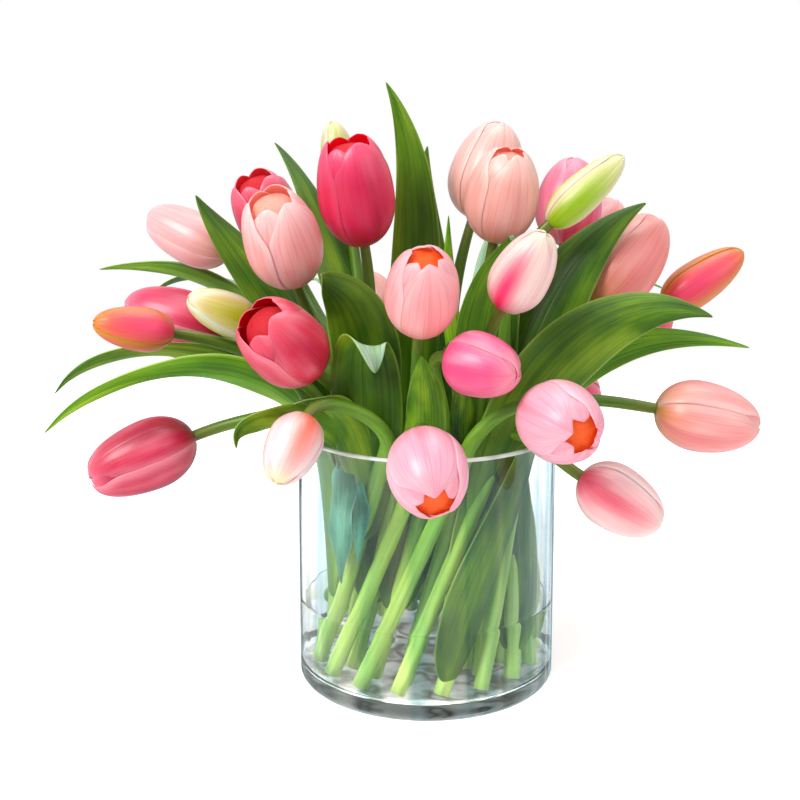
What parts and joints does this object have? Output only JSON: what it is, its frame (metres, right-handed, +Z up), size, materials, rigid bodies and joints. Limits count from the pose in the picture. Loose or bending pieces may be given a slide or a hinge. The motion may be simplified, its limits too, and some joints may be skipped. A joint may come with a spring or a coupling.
{
  "type": "glass cylinder vase with tulips",
  "caption": "Straight-sided clear glass cylinder vase with a thick floor, filled with a lift-out spiral bunch of artificial tulips and leaves.",
  "frame": {"origin": "centre of the vase's underside, on the surface that it stands on", "axes": "+Z up along the cylinder's axis, -Y to the front of the arrangement, +X to its right"},
  "size_m": [0.4026, 0.3287, 0.3481],
  "materials": {
    "clear_glass": "clear pressed and fire-polished glass",
    "stem_green": "soft-touch moulded plastic, paler towards the foot",
    "leaf_green": "soft-touch coated leaf with lengthwise veins",
    "foam_core": "matt orange foam",
    "petals_pale_pink": "soft-touch moulded petals with fine lengthwise veins",
    "petals_light_pink": "soft-touch moulded petals with fine lengthwise veins",
    "petals_hot_pink": "soft-touch moulded petals with fine lengthwise veins",
    "petals_crimson": "soft-touch moulded petals with fine lengthwise veins",
    "petals_salmon": "soft-touch moulded petals with fine lengthwise veins",
    "petals_lime_bud": "soft-touch moulded petals with fine lengthwise veins",
    "petals_coral_gold": "soft-touch moulded petals with fine lengthwise veins",
    "petals_magenta": "soft-touch moulded petals with fine lengthwise veins",
    "petals_white_pink": "soft-touch moulded petals with fine lengthwise veins",
    "petals_peach": "soft-touch moulded petals with fine lengthwise veins"
  },
  "bodies": {
    "vase": {"glass_cylinder": "clear_glass"},
    "bouquet": {"outer_stems": "stem_green", "middle_stems": "stem_green", "inner_stems": "stem_green", "bloom_01": "petals_pale_pink", "bloom_02": "petals_hot_pink", "bloom_03": "petals_light_pink", "bloom_04": "petals_crimson", "bloom_05": "petals_pale_pink", "bloom_06": "petals_light_pink", "bloom_07": "petals_hot_pink", "bloom_08": "petals_lime_bud", "bloom_09": "petals_salmon", "bloom_10": "petals_coral_gold", "bloom_11": "petals_white_pink", "bloom_12": "petals_light_pink", "bloom_13": "petals_hot_pink", "bloom_14": "petals_coral_gold", "bloom_15": "petals_peach", "bloom_16": "petals_crimson", "bloom_17": "petals_magenta", "bloom_18": "petals_hot_pink", "bloom_19": "petals_white_pink", "bloom_20": "petals_light_pink", "bloom_21": "petals_light_pink", "bloom_22": "petals_salmon", "bloom_23": "petals_white_pink", "bloom_24": "petals_lime_bud", "bloom_25": "petals_light_pink", "bloom_26": "petals_hot_pink", "bloom_27": "petals_light_pink", "bloom_28": "petals_salmon", "bloom_29": "petals_pale_pink", "bloom_30": "petals_hot_pink", "bloom_cores": "foam_core", "leaf_01": "leaf_green", "leaf_02": "leaf_green", "leaf_03": "leaf_green", "leaf_04": "leaf_green", "leaf_05": "leaf_green", "leaf_06": "leaf_green", "leaf_07": "leaf_green", "leaf_08": "leaf_green", "leaf_09": "leaf_green", "leaf_10": "leaf_green", "leaf_11": "leaf_green", "leaf_12": "leaf_green", "leaf_13": "leaf_green", "leaf_14": "leaf_green", "leaf_15": "leaf_green", "leaf_16": "leaf_green", "leaf_17": "leaf_green", "leaf_18": "leaf_green", "leaf_19": "leaf_green", "leaf_20": "leaf_green", "leaf_21": "leaf_green", "leaf_22": "leaf_green", "leaf_23": "leaf_green", "leaf_24": "leaf_green", "leaf_25": "leaf_green"}
  },
  "joints": [
    {"name": "bouquet_lift", "type": "slide", "parent": "vase", "child": "bouquet", "axis": [0, 0, 1], "range_m": [0, 0.15]}
  ]
}
